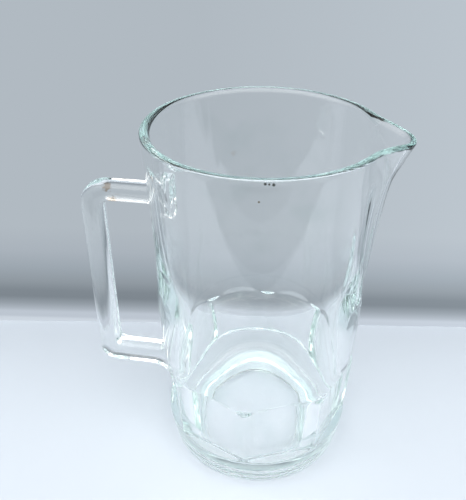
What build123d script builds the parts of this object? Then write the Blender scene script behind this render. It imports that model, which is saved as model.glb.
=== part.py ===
# Pressed-glass jug: a flared round body with a pouring spout, eight flat panels above its foot,
# and a bar handle fused to the wall at both ends.
# Millimetres, +Z up, origin on the vessel's axis at table level, +X towards the spout.
from build123d import *
import math
import os

clearance = 2.0  # how far a cutting shape runs past what it cuts

# Vessel
height = 199.0
rim_radius = 60.0
rim_wall = 5.2
rim_outer_round = 1.3
rim_inner_round = 3.2

# Underside: a shallow recess with two steps, inside the ring that the jug stands on
recess_depth = 2.0
recess_radius = 36.0
step_depth = 1.0
step_radius = 37.5
step_end = 42.5
ring_radius = 44.0
contact_radius = 48.5

# Foot band
band_radius = 52.4
band_start = 4.0
band_bulge = (51.4, 1.4)
band_top = 19.5

# Outer wall as (radius, level): ribs between the panels, their pointed tips, then the flared wall
rib_profile = [(54.6, band_top), (55.7, 32.0), (56.4, 45.0), (56.7, 54.0)]
rib_tip = (56.2, 58.0)
neck = (54.9, 61.0)
wall_profile = [neck, (56.2, 72.0), (57.3, 98.0), (56.7, 132.0), (58.3, 172.0)]
wall_profile += [(rim_radius, height - rim_outer_round)]

# Inner wall: flat floor, rounded corner and a plain taper
bore_rim_radius = rim_radius - rim_wall
bore_low_radius = 46.0
bore_low_level = 18.5
floor_radius = 27.0
floor_level = 7.0

# Flat panels above the foot band
panel_count = 8
panel_angle = 360.0 / panel_count
panel_foot_apothem = 50.4
panel_head_apothem = 52.5
panel_half_width = 23.0
arch_spring = 55.0
arch_apex = 63.5
panel_cut = 12.0

# Spout as (level, outer reach); its channel lies one wall inside
spout_sections = [
    (110.0, 56.2),
    (134.0, 58.3),
    (157.0, 60.0),
    (175.0, 63.0),
    (188.0, 68.2),
    (height + 1.0, 73.9),
]
spout_root = 42.0
spout_wall = 4.0
spout_tip_radius = 13.5
spout_half_angle = 46.0

# Pouring lip: dips towards the tip, with rounded edges
lip_start = 54.0
lip_end = 75.0
lip_drop = 3.0
lip_outer_round = 1.2
lip_inner_round = 1.8
mouth_start = 56.0

# Handle: distances along -X from the axis, and levels
handle_width = 12.0
handle_round = 4.2
upper_arm_top = 163.2
upper_arm_under = 152.0
grip_outer = 99.0
grip_inner = 86.6
lower_arm_top = 52.6
lower_arm_under = 38.5
shoulder_round = 15.0
heel_round = 10.0
inside_round = 4.0
handle_root = 48.0
flare_root = 55.0
flare_height = 7.0
flare_round = 6.0
tail_root = 54.8
tail_height = 12.0
tail_round = 11.0


def tongue(level, reach, tip_radius):
    """Plan section of the spout: two straight sides that meet in a round tip."""
    tilt = math.radians(spout_half_angle)
    tip_x = reach - tip_radius * (1 - math.sin(tilt))
    tip_y = tip_radius * math.cos(tilt)
    root_y = tip_y + (tip_x - spout_root) * math.tan(tilt)
    with BuildSketch(Plane.XY.offset(level)) as section:
        with BuildLine():
            Line((spout_root, -root_y), (tip_x, -tip_y))
            ThreePointArc((tip_x, -tip_y), (reach, 0), (tip_x, tip_y))
            Line((tip_x, tip_y), (spout_root, root_y))
            Line((spout_root, root_y), (spout_root, -root_y))
        make_face()
    return section.sketch


# What the dipping lip leaves open above the spout
with BuildPart() as lip_waste:
    with BuildSketch(Plane.XZ):
        with BuildLine():
            dip = TangentArc((lip_start, height), (lip_end, height - lip_drop), tangent=(1, 0))
            Line(dip @ 1, (lip_end, height + clearance))
            Line((lip_end, height + clearance), (lip_start, height + clearance))
            Line((lip_start, height + clearance), (lip_start, height))
        make_face()
    extrude(amount=rim_radius, both=True)

# Beak of the spout, solid, with its upper edge rounded
with BuildPart() as beak:
    for level, reach in spout_sections:
        add(tongue(level, reach, spout_tip_radius))
    loft()
    add(lip_waste.part, mode=Mode.SUBTRACT)
    with BuildSketch(Plane.XY.offset(height)):
        Circle(2 * rim_radius)
    extrude(amount=clearance, mode=Mode.SUBTRACT)
    lip_edges = edges().filter_by(lambda edge: edge.bounding_box().min.Z > height - lip_drop - 1)
    lip_edges = lip_edges.filter_by(lambda edge: edge.bounding_box().size.X > edge.length / 10)
    fillet(lip_edges, radius=lip_outer_round)

# Solid outer form: the turned body with the beak
with BuildPart() as outer_form:
    with BuildSketch(Plane.XZ):
        with BuildLine():
            Polyline(
                (0, recess_depth),
                (recess_radius, recess_depth),
                (step_radius, step_depth),
                (step_end, step_depth),
                (ring_radius, 0),
                (contact_radius, 0),
            )
            ThreePointArc((contact_radius, 0), band_bulge, (band_radius, band_start))
            Line((band_radius, band_start), rib_profile[0])
            Spline(*rib_profile)
            Polyline(rib_profile[-1], rib_tip, neck)
            wall = Spline(*wall_profile)
            rim = TangentArc(wall @ 1, (rim_radius - rim_outer_round, height), tangent=wall % 1)
            Polyline(rim @ 1, (0, height), (0, recess_depth))
        make_face()
    revolve(axis=Axis.Z)
    add(beak.part)

# One panel's waste: an arched slab that leans with the wall
panel_lean = math.atan2(panel_head_apothem - panel_foot_apothem, arch_spring - band_top)
panel_plane = Plane(
    origin=(panel_foot_apothem, 0, band_top),
    x_dir=(0, 1, 0),
    z_dir=(math.cos(panel_lean), 0, -math.sin(panel_lean)),
)
spring = (arch_spring - band_top) / math.cos(panel_lean)
apex = (arch_apex - band_top) / math.cos(panel_lean)
with BuildPart() as panel_waste:
    with BuildSketch(panel_plane):
        with BuildLine():
            ThreePointArc((panel_half_width, spring), (0, apex), (-panel_half_width, spring))
            Polyline(
                (-panel_half_width, spring),
                (-panel_half_width, 0),
                (panel_half_width, 0),
                (panel_half_width, spring),
            )
        make_face()
    extrude(amount=panel_cut)

# Space inside: tapered bore, rounded floor corner, rounded rim and the spout's channel
with BuildPart() as inner_form:
    with BuildSketch(Plane.XZ):
        with BuildLine():
            Line((0, floor_level), (floor_radius, floor_level))
            TangentArc((floor_radius, floor_level), (bore_low_radius, bore_low_level), tangent=(1, 0))
            bore = Line((bore_low_radius, bore_low_level), (bore_rim_radius, height - rim_inner_round))
            mouth = TangentArc(bore @ 1, (bore_rim_radius + rim_inner_round, height), tangent=bore % 1)
            Polyline(
                mouth @ 1,
                (bore_rim_radius + rim_inner_round, height + clearance),
                (0, height + clearance),
                (0, floor_level),
            )
        make_face()
    revolve(axis=Axis.Z)
    for level, reach in spout_sections:
        add(tongue(level, reach - spout_wall, spout_tip_radius - spout_wall))
    loft()

# Jug body: outer form less the eight panels, the space inside and the lip's dip
with BuildPart() as jug_body:
    add(outer_form.part)
    with PolarLocations(0, panel_count, start_angle=panel_angle / 2):
        add(panel_waste.part, mode=Mode.SUBTRACT)
    add(inner_form.part, mode=Mode.SUBTRACT)
    add(lip_waste.part, mode=Mode.SUBTRACT)
    mouth_edges = edges().filter_by(GeomType.BSPLINE).sort_by_distance((mouth_start, 0, height))[:3]
    fillet(mouth_edges, radius=lip_inner_round)

# Handle: one bar bent into two arms and a grip, flared where it is fused to the wall
with BuildPart() as handle:
    with BuildSketch(Plane.XZ):
        with BuildLine():
            Polyline(
                (-handle_root, upper_arm_top + flare_height),
                (-flare_root, upper_arm_top + flare_height),
                (-flare_root, upper_arm_top),
                (-grip_outer, upper_arm_top),
                (-grip_outer, lower_arm_under),
                (-tail_root, lower_arm_under),
                (-tail_root, lower_arm_under - tail_height),
                (-handle_root, lower_arm_under - tail_height),
                (-handle_root, lower_arm_top + flare_height),
                (-flare_root, lower_arm_top + flare_height),
                (-flare_root, lower_arm_top),
                (-grip_inner, lower_arm_top),
                (-grip_inner, upper_arm_under),
                (-flare_root, upper_arm_under),
                (-flare_root, upper_arm_under - flare_height),
                (-handle_root, upper_arm_under - flare_height),
                close=True,
            )
        make_face()
        for corner_x, corner_z, corner_round in (
            (grip_outer, upper_arm_top, shoulder_round),
            (grip_outer, lower_arm_under, heel_round),
            (grip_inner, upper_arm_under, inside_round),
            (grip_inner, lower_arm_top, inside_round),
            (flare_root, upper_arm_top, flare_round),
            (flare_root, upper_arm_under, flare_round),
            (flare_root, lower_arm_top, flare_round),
            (tail_root, lower_arm_under, tail_round),
        ):
            fillet(vertices().sort_by_distance((-corner_x, corner_z))[0], radius=corner_round)
    extrude(amount=handle_width / 2, both=True)
    bar_edges = faces().filter_by(Axis.Y).edges()
    bar_edges = bar_edges.filter_by(lambda edge: edge.bounding_box().min.X < -handle_root - clearance)
    fillet(bar_edges, radius=handle_round)
    add(outer_form.part, mode=Mode.SUBTRACT)

os.makedirs("parts", exist_ok=True)
jug_body.part.label = "jug_body"
export_step(jug_body.part, "parts/jug_body.step")
handle.part.label = "handle"
export_step(handle.part, "parts/handle.step")
print("jug_body", round(jug_body.part.volume), "mm3, handle", round(handle.part.volume), "mm3")
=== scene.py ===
import math
import bpy
from mathutils import Matrix, Vector


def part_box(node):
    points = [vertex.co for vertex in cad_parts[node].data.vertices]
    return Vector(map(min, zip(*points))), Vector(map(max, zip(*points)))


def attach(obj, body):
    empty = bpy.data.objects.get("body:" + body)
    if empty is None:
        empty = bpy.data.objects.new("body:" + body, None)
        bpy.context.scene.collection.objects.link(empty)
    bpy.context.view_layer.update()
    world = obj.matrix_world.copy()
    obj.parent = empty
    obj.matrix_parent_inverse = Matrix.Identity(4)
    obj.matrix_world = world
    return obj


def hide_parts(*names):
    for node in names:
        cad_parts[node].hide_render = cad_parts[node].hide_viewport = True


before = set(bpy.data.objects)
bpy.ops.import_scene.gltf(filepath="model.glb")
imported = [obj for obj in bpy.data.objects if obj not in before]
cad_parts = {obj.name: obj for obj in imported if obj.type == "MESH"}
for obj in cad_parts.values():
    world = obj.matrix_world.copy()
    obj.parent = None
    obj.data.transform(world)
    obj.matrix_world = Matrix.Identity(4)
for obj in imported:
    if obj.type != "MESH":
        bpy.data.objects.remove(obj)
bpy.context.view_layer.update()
bodyLow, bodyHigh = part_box("jug_body")
handleLow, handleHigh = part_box("handle")
mm = 0.001
seedSize = 0.001  # the plane that each outline is drawn from
mergeGap = 0.000005
touch = 0.0001  # points nearer than this are taken as one place
print("frame loaded")


def smooth(a, b, t):
    # eases from 0 at a to 1 at b
    t = min(max((t - a) / (b - a), 0.0), 1.0)
    return t * t * (3 - 2 * t)


def mix(a, b, t):
    return a + (b - a) * t


def smoothMax(a, b, blend):
    h = min(max(0.5 + 0.5 * (a - b) / blend, 0.0), 1.0)
    return mix(b, a, h) + blend * h * (1 - h)


def smoothMin(a, b, blend):
    return -smoothMax(-a, -b, blend)


def curveThrough(points):
    # a smooth line through (level, radius) points, level past its ends
    slopes = []
    for i in range(len(points)):
        before, after = points[max(i - 1, 0)], points[min(i + 1, len(points) - 1)]
        slopes.append((after[1] - before[1]) / (after[0] - before[0]))

    def radiusAt(level):
        if level <= points[0][0]:
            return points[0][1]
        for i in range(len(points) - 1):
            low, high = points[i], points[i + 1]
            if level <= high[0]:
                run = high[0] - low[0]
                t = (level - low[0]) / run
                return (
                    (2 * t**3 - 3 * t**2 + 1) * low[1]
                    + (t**3 - 2 * t**2 + t) * run * slopes[i]
                    + (3 * t**2 - 2 * t**3) * high[1]
                    + (t**3 - t**2) * run * slopes[i + 1]
                )
        return points[-1][1]

    return radiusAt


# ---- camera ----
cameraView = {
    "reach": 283.3,  # from the jug's axis, along the table
    "rise": 309.5,
    "side": 6.5,  # degrees round towards the spout
    "heading": 3.01,  # degrees that it looks to the left of the axis
    "down": 32.74,
    "lens": 44.54,
}


def addCamera(look):
    side = math.radians(look["side"])
    data = bpy.data.cameras.new("camera")
    data.lens = look["lens"]
    data.clip_start, data.clip_end = 0.01, 20
    camera = bpy.data.objects.new("camera", data)
    camera.location = Vector(
        (look["reach"] * math.sin(side), -look["reach"] * math.cos(side), look["rise"])
    ) * mm
    camera.rotation_euler = (
        math.radians(90 - look["down"]),
        0,
        math.radians(look["side"] + look["heading"]),
    )
    bpy.context.scene.collection.objects.link(camera)
    bpy.context.scene.camera = camera


addCamera(cameraView)
print("camera placed")

# ---- jug body: one section turned round the axis, then pressed to its panels and drawn out to its spout ----
jug = {
    "height": bodyHigh.z / mm,
    "rimRadius": bodyHigh.y / mm,
    "rimWall": 5.2,
    "rimOuter": 1.3,
    "rimInner": 3.2,
    "recess": [(36.0, 2.0), (37.5, 1.0), (42.5, 1.0), (44.0, 0.0)],  # its steps as radius and level
    "ring": (44.0, 48.5),
    "foot": (52.4, 4.0),
    "bandTop": 19.5,
    "ribs": [(4.0, 52.4), (10.0, 53.4), (19.5, 54.6), (32.0, 55.7), (45.0, 56.4), (54.0, 56.7), (57.0, 56.5)],
    "wall": [(61.0, 54.9), (72.0, 56.2), (98.0, 57.3), (132.0, 56.7), (172.0, 58.3), (197.7, 60.0)],
    "tipLevel": (56.8, 61.4),
    "boreLow": (18.5, 46.0),
    "floor": (7.0, 27.0),
    "outsideSteps": [(18.0, 7), (21.6, 8), (52.0, 14), (67.0, 32), (150.0, 26)],  # level, and steps up to it
    "rimSteps": 22,
    "insideSteps": [(150.0, 20)],
    "lowSteps": 24,
    "columns": 384,
}
panels = {
    "count": 8,
    "flats": (50.4, 52.5),  # distance from the axis, at the band and at the arch's spring
    "spring": 55.0,
    "apex": 63.5,
    "half": 23.0,
    "ledge": 1.4,
    "sill": 2.2,
    "ribSoft": 0.9,
}
spout = {
    "root": 105.0,
    "full": 165.0,  # where its blend with the wall is at its softest
    "beak": [
        (110.0, 56.2),
        (134.0, 58.3),
        (157.0, 60.0),
        (175.0, 63.0),
        (188.0, 68.2),
        (200.0, bodyHigh.x / mm + 1.1),
    ],
    "wall": 4.0,
    "tip": 13.5,
    "half": 46.0,  # degrees between its sides and its middle line
    "rootSoft": 0.6,
    "soft": [(8.0, 2.0), (5.5, 2.2)],  # how softly it leaves the wall, below and at the rim
    "rimBlend": (182.0, 198.0),
    "lipStart": 54.0,
    "lipEnd": 75.0,
    "lipDrop": 3.0,
    "lipFade": (150.0, 196.0),
}
ribRadius = curveThrough(jug["ribs"])
wallRadius = curveThrough(jug["wall"])
beakReach = curveThrough(spout["beak"])


def roundRadius(level):
    # the turned outside: ribs below, wall above, with the ribs' pointed tips between
    return mix(ribRadius(level), wallRadius(level), smooth(*jug["tipLevel"], level))


def boreRadius(level):
    low, lowRadius = jug["boreLow"]
    top = jug["height"] - jug["rimInner"]
    return mix(lowRadius, jug["rimRadius"] - jug["rimWall"], min((level - low) / (top - low), 1.0))


def arcStations(centre, across, rise, start, end, steps):
    # points on a quarter round, with different reach and rise
    for i in range(1, steps + 1):
        turn = math.radians(mix(start, end, i / steps))
        yield centre[0] + across * math.cos(turn), centre[1] + rise * math.sin(turn)


def lineStations(radiusAt, start, end, steps):
    for i in range(1, steps + 1):
        level = mix(start, end, i / steps)
        yield radiusAt(level), level


def jugSection(j):
    # (radius, level) from the middle of the underside, up the outside and down the inside
    recessRadius, recessDepth = j["recess"][0]
    floorLevel, floorRadius = j["floor"]
    low, lowRadius = j["boreLow"]
    footRadius, footLevel = j["foot"]
    rimOut, rimIn = j["rimRadius"] - j["rimOuter"], j["rimRadius"] - j["rimWall"] + j["rimInner"]
    section = [(recessRadius * i / 5, recessDepth) for i in range(6)]
    for start, end in zip(j["recess"], j["recess"][1:]):
        for i in range(1, 7):
            section.append((mix(start[0], end[0], i / 6), mix(start[1], end[1], smooth(0, 1, i / 6))))
    section += [(mix(*j["ring"], i / 4), 0.0) for i in range(1, 5)]
    section += arcStations((j["ring"][1], footLevel), footRadius - j["ring"][1], footLevel, -90, 0, 8)
    reached = footLevel
    for level, steps in j["outsideSteps"] + [(j["height"] - j["rimOuter"], j["rimSteps"])]:
        section += lineStations(roundRadius, reached, level, steps)
        reached = level
    section += arcStations((rimOut, j["height"] - j["rimOuter"]), j["rimOuter"], j["rimOuter"], 0, 90, 7)
    section += arcStations((rimIn, j["height"] - j["rimInner"]), j["rimInner"], j["rimInner"], 90, 180, 12)
    reached = j["height"] - j["rimInner"]
    for level, steps in j["insideSteps"] + [(low, j["lowSteps"])]:
        section += lineStations(boreRadius, reached, level, steps)
        reached = level
    section += arcStations((floorRadius, low), lowRadius - floorRadius, low - floorLevel, 0, -90, 12)
    section += [(floorRadius * (1 - i / 6), floorLevel) for i in range(1, 7)]
    return section


def turnSection(name, section, columns):
    # draws the section point by point and spins it into a closed shell
    bpy.ops.object.select_all(action="DESELECT")
    bpy.ops.mesh.primitive_plane_add(size=seedSize)
    piece = bpy.context.object
    piece.name = name
    piece.data.name = name
    bpy.ops.object.mode_set(mode="EDIT")
    bpy.ops.mesh.select_all(action="SELECT")
    bpy.ops.mesh.merge(type="CENTER")
    bpy.ops.transform.translate(value=Vector((section[0][0], 0, section[0][1])) * mm)
    for here, there in zip(section, section[1:]):
        step = Vector((there[0] - here[0], 0, there[1] - here[1])) * mm
        bpy.ops.mesh.extrude_region_move(TRANSFORM_OT_translate={"value": step})
    bpy.ops.mesh.select_all(action="SELECT")
    bpy.ops.mesh.spin(steps=columns, angle=2 * math.pi, center=(0, 0, 0), axis=(0, 0, 1))
    bpy.ops.mesh.select_all(action="SELECT")
    bpy.ops.mesh.remove_doubles(threshold=mergeGap)
    bpy.ops.mesh.normals_make_consistent(inside=False)
    bpy.ops.object.mode_set(mode="OBJECT")
    return piece


def panelAngle(angle):
    # angle from the middle of the nearest panel
    step = 2 * math.pi / panels["count"]
    return angle % step - step / 2


def pressedRadius(angle, level):
    # the outside with its flats, whose tops are arches
    turned = roundRadius(level)
    foot, head = panels["flats"]
    lean = (level - jug["bandTop"]) / (panels["spring"] - jug["bandTop"])
    flat = smoothMin(turned, mix(foot, head, lean) / math.cos(panelAngle(angle)), panels["ribSoft"])
    rise = panels["apex"] - panels["spring"]
    bow = (panels["half"] ** 2 + rise**2) / (2 * rise)
    across = panels["flats"][1] * math.tan(panelAngle(angle))
    arch = panels["apex"] - bow + math.sqrt(bow**2 - across**2)
    edge = panels["ledge"]
    inPanel = smooth(0, panels["sill"], level - jug["bandTop"]) * smooth(-edge, edge, arch - level)
    return mix(turned, flat, inPanel)


def tongueRadius(angle, reach, tip):
    # distance from the axis to the side of a round-tipped wedge, in the direction of the angle
    half, away = math.radians(spout["half"]), abs(math.remainder(angle, 2 * math.pi))
    centre = reach - tip
    side = centre * math.sin(half) + tip
    if away < math.atan2(tip * math.cos(half), centre + tip * math.sin(half)):
        return centre * math.cos(away) + math.sqrt(tip**2 - (centre * math.sin(away)) ** 2)
    return side / math.sin(min(half + away, math.pi / 2))


def spoutRadii(angle, level):
    # inner and outer radius with the spout
    reach, grown = beakReach(level), smooth(spout["root"], spout["full"], level)
    outerSoft, innerSoft = (
        mix(spout["rootSoft"], mix(below, atRim, smooth(*spout["rimBlend"], level)), grown)
        for below, atRim in spout["soft"]
    )
    outer = smoothMax(roundRadius(level), tongueRadius(angle, reach, spout["tip"]), outerSoft)
    inner = tongueRadius(angle, reach - spout["wall"], spout["tip"] - spout["wall"])
    return smoothMax(boreRadius(level), inner, innerSoft), outer


def pressJug(piece):
    # moves each ring of the turned shell outwards or inwards
    skin = 0.01
    for vertex in piece.data.vertices:
        place = vertex.co / mm
        radius, angle, level = math.hypot(place.x, place.y), math.atan2(place.y, place.x), place.z
        if level < jug["bandTop"] - 2 * panels["ledge"] or radius < boreRadius(level) - skin:
            continue
        if level < spout["root"]:
            if radius < boreRadius(level) + skin:
                continue
            radius = pressedRadius(angle, level)
        else:
            flush = min(level, jug["height"] - jug["rimOuter"])
            share = (radius - boreRadius(flush)) / (roundRadius(flush) - boreRadius(flush))
            inner, outer = spoutRadii(angle, flush)
            radius = mix(inner, outer, share)
            dip = max(outer * math.cos(angle) - spout["lipStart"], 0) / (spout["lipEnd"] - spout["lipStart"])
            level -= spout["lipDrop"] * dip**2 * smooth(*spout["lipFade"], level)
        vertex.co = Vector((radius * math.cos(angle), radius * math.sin(angle), level)) * mm


jugPiece = turnSection("pressed_jug", jugSection(jug), jug["columns"])
pressJug(jugPiece)
bpy.ops.object.shade_smooth()
print("jug body shaped", len(jugPiece.data.polygons))

# ---- handle: a flat outline with rounded corners, thickened, rounded on its edges and cut to the wall ----
bar = {
    "width": handleHigh.y * 2 / mm,
    "armTop": 163.2,
    "armUnder": 152.0,
    "gripOuter": -handleLow.x / mm,
    "gripInner": 86.6,
    "footTop": 52.6,
    "footUnder": 38.5,
    "shoulder": 15.0,
    "heel": 10.0,
    "inside": 4.0,
    "root": 48.0,
    "flare": (55.0, 7.0, 6.0),  # where it starts, its height and its radius
    "tail": (54.8, 12.0, 11.0),
    "edgeRound": 4.2,
    "edgeSteps": 8,
    "cornerSteps": (8, 14),  # for small and large corners
    "largeCorner": 5.0,
    "sink": 0.3,  # how far its ends reach into the wall
    "cutLevels": (20, 180),
    "cutStep": 5,
    "cutColumns": 192,
}


def barCorners(b):
    # distance out from the axis, level, and radius of each corner
    flareOut, flareHigh, flareRound = b["flare"]
    tailOut, tailHigh, tailRound = b["tail"]
    return [
        (b["root"], b["armTop"] + flareHigh, 0),
        (flareOut, b["armTop"] + flareHigh, 0),
        (flareOut, b["armTop"], flareRound),
        (b["gripOuter"], b["armTop"], b["shoulder"]),
        (b["gripOuter"], b["footUnder"], b["heel"]),
        (tailOut, b["footUnder"], tailRound),
        (tailOut, b["footUnder"] - tailHigh, 0),
        (b["root"], b["footUnder"] - tailHigh, 0),
        (b["root"], b["footTop"] + flareHigh, 0),
        (flareOut, b["footTop"] + flareHigh, 0),
        (flareOut, b["footTop"], flareRound),
        (b["gripInner"], b["footTop"], b["inside"]),
        (b["gripInner"], b["armUnder"], b["inside"]),
        (flareOut, b["armUnder"], flareRound),
        (flareOut, b["armUnder"] - flareHigh, 0),
        (b["root"], b["armUnder"] - flareHigh, 0),
    ]


def selectWhere(piece, kind, test):
    # picks vertices, edges or faces in code; leaves edit mode on
    bpy.ops.object.mode_set(mode="OBJECT")
    mesh = piece.data
    for parts in (mesh.vertices, mesh.edges, mesh.polygons):
        parts.foreach_set("select", [False] * len(parts))
    for item in getattr(mesh, kind):
        item.select = test(mesh, item)
    bpy.ops.object.mode_set(mode="EDIT")


def makeBar(name, b):
    corners = barCorners(b)
    halfWidth = b["width"] / 2
    bpy.ops.object.select_all(action="DESELECT")
    bpy.ops.mesh.primitive_plane_add(size=seedSize)
    piece = bpy.context.object
    piece.name = name
    piece.data.name = name
    bpy.ops.object.mode_set(mode="EDIT")
    bpy.context.tool_settings.mesh_select_mode = (True, False, False)
    bpy.ops.mesh.select_all(action="SELECT")
    bpy.ops.mesh.merge(type="CENTER")
    bpy.ops.transform.translate(value=Vector((-corners[0][0], -halfWidth, corners[0][1])) * mm)
    for here, there in zip(corners, corners[1:]):
        step = Vector((here[0] - there[0], 0, there[1] - here[1])) * mm
        bpy.ops.mesh.extrude_region_move(TRANSFORM_OT_translate={"value": step})
    bpy.ops.mesh.select_all(action="SELECT")
    bpy.ops.mesh.edge_face_add()
    for outward, level, radius in corners:
        if radius:
            spot = Vector((-outward, -halfWidth, level)) * mm
            selectWhere(piece, "vertices", lambda mesh, v: (v.co - spot).length < touch)
            steps = b["cornerSteps"][radius > b["largeCorner"]]
            bpy.ops.mesh.bevel(offset=radius * mm, segments=steps, affect="VERTICES", offset_type="OFFSET")
    bpy.ops.mesh.select_all(action="SELECT")
    bpy.ops.mesh.extrude_region_move(TRANSFORM_OT_translate={"value": (0, b["width"] * mm, 0)})
    bpy.ops.mesh.select_all(action="SELECT")
    bpy.ops.mesh.normals_make_consistent(inside=False)
    bpy.context.tool_settings.mesh_select_mode = (False, True, False)

    def onOutline(mesh, edge):
        first, second = (mesh.vertices[i].co for i in edge.vertices)
        sameSide = abs(first.y - second.y) < touch
        return sameSide and min(first.x, second.x) < -(b["root"] + 1) * mm

    selectWhere(piece, "edges", onOutline)
    bpy.ops.mesh.bevel(
        offset=b["edgeRound"] * mm, segments=b["edgeSteps"], affect="EDGES", offset_type="OFFSET"
    )
    bpy.ops.object.mode_set(mode="OBJECT")
    return piece


def cutToWall(piece, b):
    low, high = b["cutLevels"]
    section = [(0.0, float(low))]
    for level in range(low, high + 1, b["cutStep"]):
        section.append((roundRadius(level) - b["sink"], float(level)))
    section.append((0.0, float(high)))
    cutter = turnSection("wall_cutter", section, b["cutColumns"])
    bpy.ops.object.select_all(action="DESELECT")
    bpy.context.view_layer.objects.active = piece
    piece.select_set(True)
    bpy.ops.object.modifier_add(type="BOOLEAN")
    piece.modifiers["Boolean"].operation = "DIFFERENCE"
    piece.modifiers["Boolean"].object = cutter
    bpy.ops.object.modifier_apply(modifier="Boolean")
    bpy.data.objects.remove(cutter)


handlePiece = makeBar("bar_handle", bar)
cutToWall(handlePiece, bar)
bpy.ops.object.shade_smooth_by_angle(angle=math.radians(20))
print("handle shaped", len(handlePiece.data.polygons))

# ---- glass ----
def mapRange(nodes, links, value, span, result=(0, 1), kind="LINEAR"):
    node = nodes.new("ShaderNodeMapRange")
    node.interpolation_type = kind
    node.inputs["From Min"].default_value, node.inputs["From Max"].default_value = span
    node.inputs["To Min"].default_value, node.inputs["To Max"].default_value = result
    links.new(value, node.inputs["Value"])
    return node.outputs["Result"]


def mixColour(nodes, links, share, first, second):
    # first and second are colours or sockets
    node = nodes.new("ShaderNodeMix")
    node.data_type = "RGBA"
    links.new(share, node.inputs["Factor"])
    for side, colour in (("A", first), ("B", second)):
        socket = next(s for s in node.inputs if s.name == side and s.type == "RGBA")
        if isinstance(colour, tuple):
            socket.default_value = colour
        else:
            links.new(colour, socket)
    return next(s for s in node.outputs if s.type == "RGBA")


jugGlass = {
    "ior": 1.5,
    "tint": (0.55, 0.86, 0.80, 1),
    "density": 3.5,
    "waves": (26.0, 0.35),  # per metre, and how much they are drawn out upwards
    "waveDepth": 0.00016,
    "smudge": 0.05,
    "specks": 0.8,
    "spots": [  # place and radius in millimetres, colour
        ((8.0, -59.4, 197.5), 0.9, (0.02, 0.02, 0.015, 1)),
        ((9.6, -59.2, 197.4), 0.7, (0.02, 0.02, 0.015, 1)),
        ((11.4, -58.9, 197.2), 1.0, (0.02, 0.02, 0.015, 1)),
        ((5.6, -59.0, 189.0), 0.7, (0.16, 0.1, 0.04, 1)),
        ((29.5, -51.4, 179.4), 0.5, (0.1, 0.07, 0.04, 1)),
        ((-23.4, 49.4, 162.0), 3.0, (0.9, 0.84, 0.8, 1)),
    ],
}
handleGlass = {
    "ior": 1.5,
    "tint": (0.55, 0.86, 0.80, 1),
    "density": 3.5,
    "waves": (34.0, 0.6),
    "waveDepth": 0.00018,
    "smudge": 0.12,
    "specks": 0.3,
    "spots": [
        ((-81.5, -4.0, 161.0), 3.6, (0.45, 0.3, 0.2, 1)),
        ((-79.5, -4.0, 154.5), 4.2, (0.52, 0.38, 0.27, 1)),
        ((-74.0, -3.0, 153.0), 4.0, (0.8, 0.74, 0.68, 1)),
    ],
}


glassMarks = {
    "cloudScale": 30.0,
    "cloudDetail": 6.0,
    "cloudEdge": (0.52, 0.78),  # where the noise starts to smudge, and where it smudges fully
    "film": (0.93, 0.95, 0.945, 1),
    "speckScale": 55.0,
    "speckSize": (0.012, 0.02),  # in cells
    "speckShare": (0.55, 0.6),  # the cells above this random value have a speck
    "speckColour": (0.1, 0.08, 0.06, 1),
}


def makeMarks(m):
    # what both glasses share: slow waves in the surface, smudges and fine specks
    group = bpy.data.node_groups.new("glassMarks", "ShaderNodeTree")
    for name, way, kind in (
        ("Vector", "INPUT", "NodeSocketVector"),
        ("Stretched", "INPUT", "NodeSocketVector"),
        ("Wave Scale", "INPUT", "NodeSocketFloat"),
        ("Wave Depth", "INPUT", "NodeSocketFloat"),
        ("Smudge", "INPUT", "NodeSocketFloat"),
        ("Specks", "INPUT", "NodeSocketFloat"),
        ("Color", "OUTPUT", "NodeSocketColor"),
        ("Roughness", "OUTPUT", "NodeSocketFloat"),
        ("Normal", "OUTPUT", "NodeSocketVector"),
    ):
        group.interface.new_socket(name=name, in_out=way, socket_type=kind)
    nodes, links = group.nodes, group.links
    given, made = nodes.new("NodeGroupInput"), nodes.new("NodeGroupOutput")
    wave = nodes.new("ShaderNodeTexNoise")
    wave.inputs["Detail"].default_value = 1.0
    links.new(given.outputs["Stretched"], wave.inputs["Vector"])
    links.new(given.outputs["Wave Scale"], wave.inputs["Scale"])
    bump = nodes.new("ShaderNodeBump")
    links.new(given.outputs["Wave Depth"], bump.inputs["Distance"])
    links.new(wave.outputs["Fac"], bump.inputs["Height"])
    cloud = nodes.new("ShaderNodeTexNoise")
    cloud.inputs["Scale"].default_value = m["cloudScale"]
    cloud.inputs["Detail"].default_value = m["cloudDetail"]
    links.new(given.outputs["Vector"], cloud.inputs["Vector"])
    smudge = mapRange(nodes, links, cloud.outputs["Fac"], m["cloudEdge"], (0, 1), "SMOOTHSTEP")
    rough = nodes.new("ShaderNodeMath")
    rough.operation = "MULTIPLY"
    links.new(smudge, rough.inputs[0])
    links.new(given.outputs["Smudge"], rough.inputs[1])
    cells = nodes.new("ShaderNodeTexVoronoi")
    cells.inputs["Scale"].default_value = m["speckScale"]
    links.new(given.outputs["Vector"], cells.inputs["Vector"])
    dot = mapRange(nodes, links, cells.outputs["Distance"], m["speckSize"], (1, 0), "SMOOTHSTEP")
    colours = nodes.new("ShaderNodeSeparateColor")
    links.new(cells.outputs["Color"], colours.inputs["Color"])
    chosen = mapRange(nodes, links, colours.outputs["Red"], m["speckShare"])
    for factor in (chosen, given.outputs["Specks"]):
        multiply = nodes.new("ShaderNodeMath")
        multiply.operation = "MULTIPLY"
        links.new(dot, multiply.inputs[0])
        links.new(factor, multiply.inputs[1])
        dot = multiply.outputs[0]
    film = mixColour(nodes, links, smudge, (1, 1, 1, 1), m["film"])
    film = mixColour(nodes, links, dot, film, m["speckColour"])
    links.new(film, made.inputs["Color"])
    links.new(rough.outputs[0], made.inputs["Roughness"])
    links.new(bump.outputs["Normal"], made.inputs["Normal"])
    return group


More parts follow.
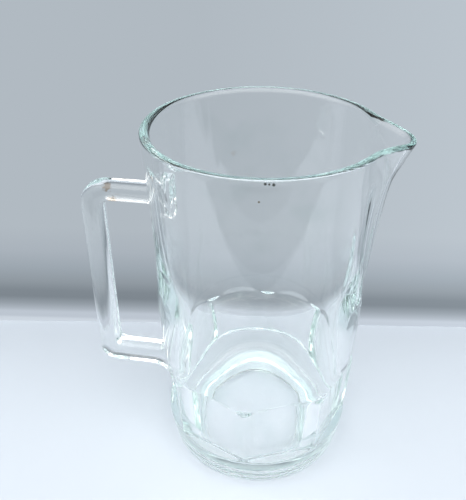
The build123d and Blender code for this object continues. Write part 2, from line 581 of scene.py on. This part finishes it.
def spotMask(nodes, links, vector, place, radius):
    # 1 inside an uneven round spot
    ragged = nodes.new("ShaderNodeTexNoise")
    ragged.inputs["Scale"].default_value = 2.6 / (radius * mm)
    ragged.inputs["Detail"].default_value = 4.0
    links.new(vector, ragged.inputs["Vector"])
    away = nodes.new("ShaderNodeVectorMath")
    away.operation = "DISTANCE"
    links.new(vector, away.inputs[0])
    away.inputs[1].default_value = Vector(place) * mm
    share = nodes.new("ShaderNodeMath")
    share.operation = "MULTIPLY_ADD"
    links.new(away.outputs["Value"], share.inputs[0])
    share.inputs[1].default_value = 1 / (radius * mm)
    links.new(ragged.outputs["Fac"], share.inputs[2])
    return mapRange(nodes, links, share.outputs[0], (1.0, 1.4), (1, 0), "SMOOTHSTEP")


def glassMaterial(name, look, marks):
    material = bpy.data.materials.new(name)
    material.use_nodes = True
    nodes, links = material.node_tree.nodes, material.node_tree.links
    shader = nodes["Principled BSDF"]
    shader.inputs["IOR"].default_value = look["ior"]
    shader.inputs["Transmission Weight"].default_value = 1
    place = nodes.new("ShaderNodeTexCoord").outputs["Object"]
    stretch = nodes.new("ShaderNodeMapping")
    stretch.inputs["Scale"].default_value = (1, 1, look["waves"][1])
    links.new(place, stretch.inputs["Vector"])
    surface = nodes.new("ShaderNodeGroup")
    surface.node_tree = marks
    links.new(place, surface.inputs["Vector"])
    links.new(stretch.outputs["Vector"], surface.inputs["Stretched"])
    surface.inputs["Wave Scale"].default_value = look["waves"][0]
    surface.inputs["Wave Depth"].default_value = look["waveDepth"]
    surface.inputs["Smudge"].default_value = look["smudge"]
    surface.inputs["Specks"].default_value = look["specks"]
    colour = surface.outputs["Color"]
    for spot, radius, tone in look["spots"]:
        colour = mixColour(nodes, links, spotMask(nodes, links, place, spot, radius), colour, tone)
    links.new(colour, shader.inputs["Base Color"])
    links.new(surface.outputs["Roughness"], shader.inputs["Roughness"])
    links.new(surface.outputs["Normal"], shader.inputs["Normal"])
    inside = nodes.new("ShaderNodeVolumeAbsorption")
    inside.inputs["Color"].default_value = look["tint"]
    inside.inputs["Density"].default_value = look["density"]
    links.new(inside.outputs["Volume"], nodes["Material Output"].inputs["Volume"])
    return material


def finishPiece(piece, material, node):
    piece.data.materials.clear()
    piece.data.materials.append(material)
    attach(piece, "root")
    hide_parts(node)


marks = makeMarks(glassMarks)
finishPiece(jugPiece, glassMaterial("jugGlass", jugGlass, marks), "jug_body")
finishPiece(handlePiece, glassMaterial("handleGlass", handleGlass, marks), "handle")
print("glass made")

# ---- table, room and light ----
room = {
    "tableLevel": -0.05,
    "tableFar": 92.0,  # the table's far edge behind the jug
    "tableSide": 1500.0,
    "tableNear": -225.0,
    "tableTurn": 8.2,  # degrees
    "wallShadowLean": 0.016,  # how its tones and its painted shadow band drop towards the spout's side
    "wallPaintedBrightness": (-0.05, 0.16, 1.17),  # where its painted light grows brighter towards that side, and how much
    "tableColour": (0.445, 0.485, 0.53, 1),
    "wallSpan": (-40.0, 246.0),
    "wallSide": 1200.0,
    "skyStrength": 3.4,
    "skyRise": (0.3, 0.75),  # heights in the sky between which it grows to that
    "farFade": (-0.2, 0.6),
    "farShare": 0.13,  # how bright the far half of the sky is beside the near half
}


def addTable(look):
    bpy.ops.object.select_all(action="DESELECT")
    bpy.ops.mesh.primitive_plane_add(size=1)
    table = bpy.context.object
    table.name = "table"
    turn = Matrix.Rotation(math.radians(look["tableTurn"]), 3, "Z")
    for vertex in table.data.vertices:
        vertex.co = turn @ Vector((
            math.copysign(look["tableSide"], vertex.co.x),
            look["tableFar"] if vertex.co.y > 0 else look["tableNear"],
            look["tableLevel"],
        )) * mm
    material = bpy.data.materials.new("tablePaint")
    material.use_nodes = True
    shader = material.node_tree.nodes["Principled BSDF"]
    shader.inputs["Base Color"].default_value = look["tableColour"]
    shader.inputs["Roughness"].default_value = 0.5
    table.data.materials.append(material)


def srgb(*levels):
    # linear colour from 0-255 screen levels
    return tuple(((v / 255 + 0.055) / 1.055) ** 2.4 for v in levels) + (1,)


# elevation in degrees, and colour
roomTones = [
    (-90.0, srgb(96, 102, 106)),
    (-8.0, srgb(110, 116, 120)),
    (6.0, srgb(176, 184, 192)),
    (20.0, srgb(214, 220, 226)),
    (32.0, srgb(255, 255, 255)),
]
# level in millimetres, and colour, up the wall behind the table; the darker band low down is a painted shadow
# at the wall's foot
wallShadowTones = [
    (-40.0, srgb(212, 221, 230)),
    (0.0, srgb(205, 214, 224)),
    (2.0, srgb(188, 197, 208)),
    (6.5, srgb(190, 199, 210)),
    # painted shadow: from here the wall darkens to a band near its foot, then lightens again upwards
    (9.5, srgb(172, 181, 191)),
    (14.5, srgb(150, 159, 168)),
    (21.0, srgb(126, 135, 143)),
    (27.0, srgb(128, 137, 145)),
    (35.5, srgb(144, 153, 161)),
    (48.0, srgb(157, 167, 176)),
    (63.0, srgb(170, 179, 188)),
    (83.0, srgb(177, 186, 194)),
]


def toneRamp(nodes, links, share, tones, span):
    # colours at their places along a span
    ramp = nodes.new("ShaderNodeValToRGB")
    links.new(share, ramp.inputs["Fac"])
    while len(ramp.color_ramp.elements) > 1:
        ramp.color_ramp.elements.remove(ramp.color_ramp.elements[0])
    for i, (where, colour) in enumerate(tones):
        where = (where - span[0]) / (span[1] - span[0])
        stop = ramp.color_ramp.elements[0] if i == 0 else ramp.color_ramp.elements.new(where)
        stop.position = where
        stop.color = colour
    return ramp.outputs["Color"]


def addRoom(look):
    world = bpy.data.worlds.new("room")
    bpy.context.scene.world = world
    world.use_nodes = True
    nodes, links = world.node_tree.nodes, world.node_tree.links
    place = nodes.new("ShaderNodeTexCoord")
    split = nodes.new("ShaderNodeSeparateXYZ")
    links.new(place.outputs["Generated"], split.inputs["Vector"])
    rise = nodes.new("ShaderNodeMath")
    rise.operation = "ARCSINE"
    links.new(split.outputs["Z"], rise.inputs[0])
    share = mapRange(nodes, links, rise.outputs[0], (-math.pi / 2, math.pi / 2))
    colour = toneRamp(nodes, links, share, roomTones, (-90, 90))
    high = mapRange(nodes, links, split.outputs["Z"], look["skyRise"], (1, look["skyStrength"]), "SMOOTHSTEP")
    near = mapRange(nodes, links, split.outputs["Y"], look["farFade"], (1, look["farShare"]), "SMOOTHSTEP")
    strength = nodes.new("ShaderNodeMath")
    strength.operation = "MULTIPLY"
    links.new(high, strength.inputs[0])
    links.new(near, strength.inputs[1])
    links.new(colour, nodes["Background"].inputs["Color"])
    links.new(strength.outputs[0], nodes["Background"].inputs["Strength"])


def addWall(look):
    # a soft grey wall that is seen from the front only; it glows with painted light, brighter towards the
    # spout's side, with a painted shadow band near its foot
    bpy.ops.object.select_all(action="DESELECT")
    bpy.ops.mesh.primitive_plane_add(size=1)
    wall = bpy.context.object
    wall.name = "wall"
    turn = Matrix.Rotation(math.radians(look["tableTurn"]), 3, "Z")
    for vertex in wall.data.vertices:
        level = look["wallSpan"][1] if vertex.co.y > 0 else look["wallSpan"][0]
        across = math.copysign(look["wallSide"], vertex.co.x)
        vertex.co = turn @ Vector((across, look["tableFar"], level)) * mm
    material = bpy.data.materials.new("wallPaintedLightAndShade")
    material.use_nodes = True
    nodes, links = material.node_tree.nodes, material.node_tree.links
    nodes.remove(nodes["Principled BSDF"])
    place = nodes.new("ShaderNodeTexCoord")
    split = nodes.new("ShaderNodeSeparateXYZ")
    links.new(place.outputs["Object"], split.inputs["Vector"])
    span = [level * mm for level in look["wallSpan"]]
    lean = nodes.new("ShaderNodeMath")
    lean.operation = "MULTIPLY_ADD"
    links.new(split.outputs["X"], lean.inputs[0])
    lean.inputs[1].default_value = look["wallShadowLean"]
    links.new(split.outputs["Z"], lean.inputs[2])
    share = mapRange(nodes, links, lean.outputs[0], span)
    # painted light: the wall glows though it is no lamp, brighter towards the spout's side
    paintedLight = nodes.new("ShaderNodeEmission")
    start, end, most = look["wallPaintedBrightness"]
    links.new(mapRange(nodes, links, split.outputs["X"], (start, end), (1, most)), paintedLight.inputs["Strength"])
    links.new(toneRamp(nodes, links, share, wallShadowTones, look["wallSpan"]), paintedLight.inputs["Color"])
    clear = nodes.new("ShaderNodeBsdfTransparent")
    side = nodes.new("ShaderNodeNewGeometry")
    choose = nodes.new("ShaderNodeMixShader")
    links.new(side.outputs["Backfacing"], choose.inputs["Fac"])
    links.new(paintedLight.outputs["Emission"], choose.inputs[1])
    links.new(clear.outputs["BSDF"], choose.inputs[2])
    links.new(choose.outputs["Shader"], nodes["Material Output"].inputs["Surface"])
    wall.data.materials.append(material)


addTable(room)
addWall(room)
addRoom(room)
bpy.context.scene.view_settings.view_transform = "Standard"
paths = bpy.context.scene.cycles
paths.max_bounces, paths.glossy_bounces, paths.transmission_bounces = 32, 24, 32
paths.blur_glossy = 0
print("room set")
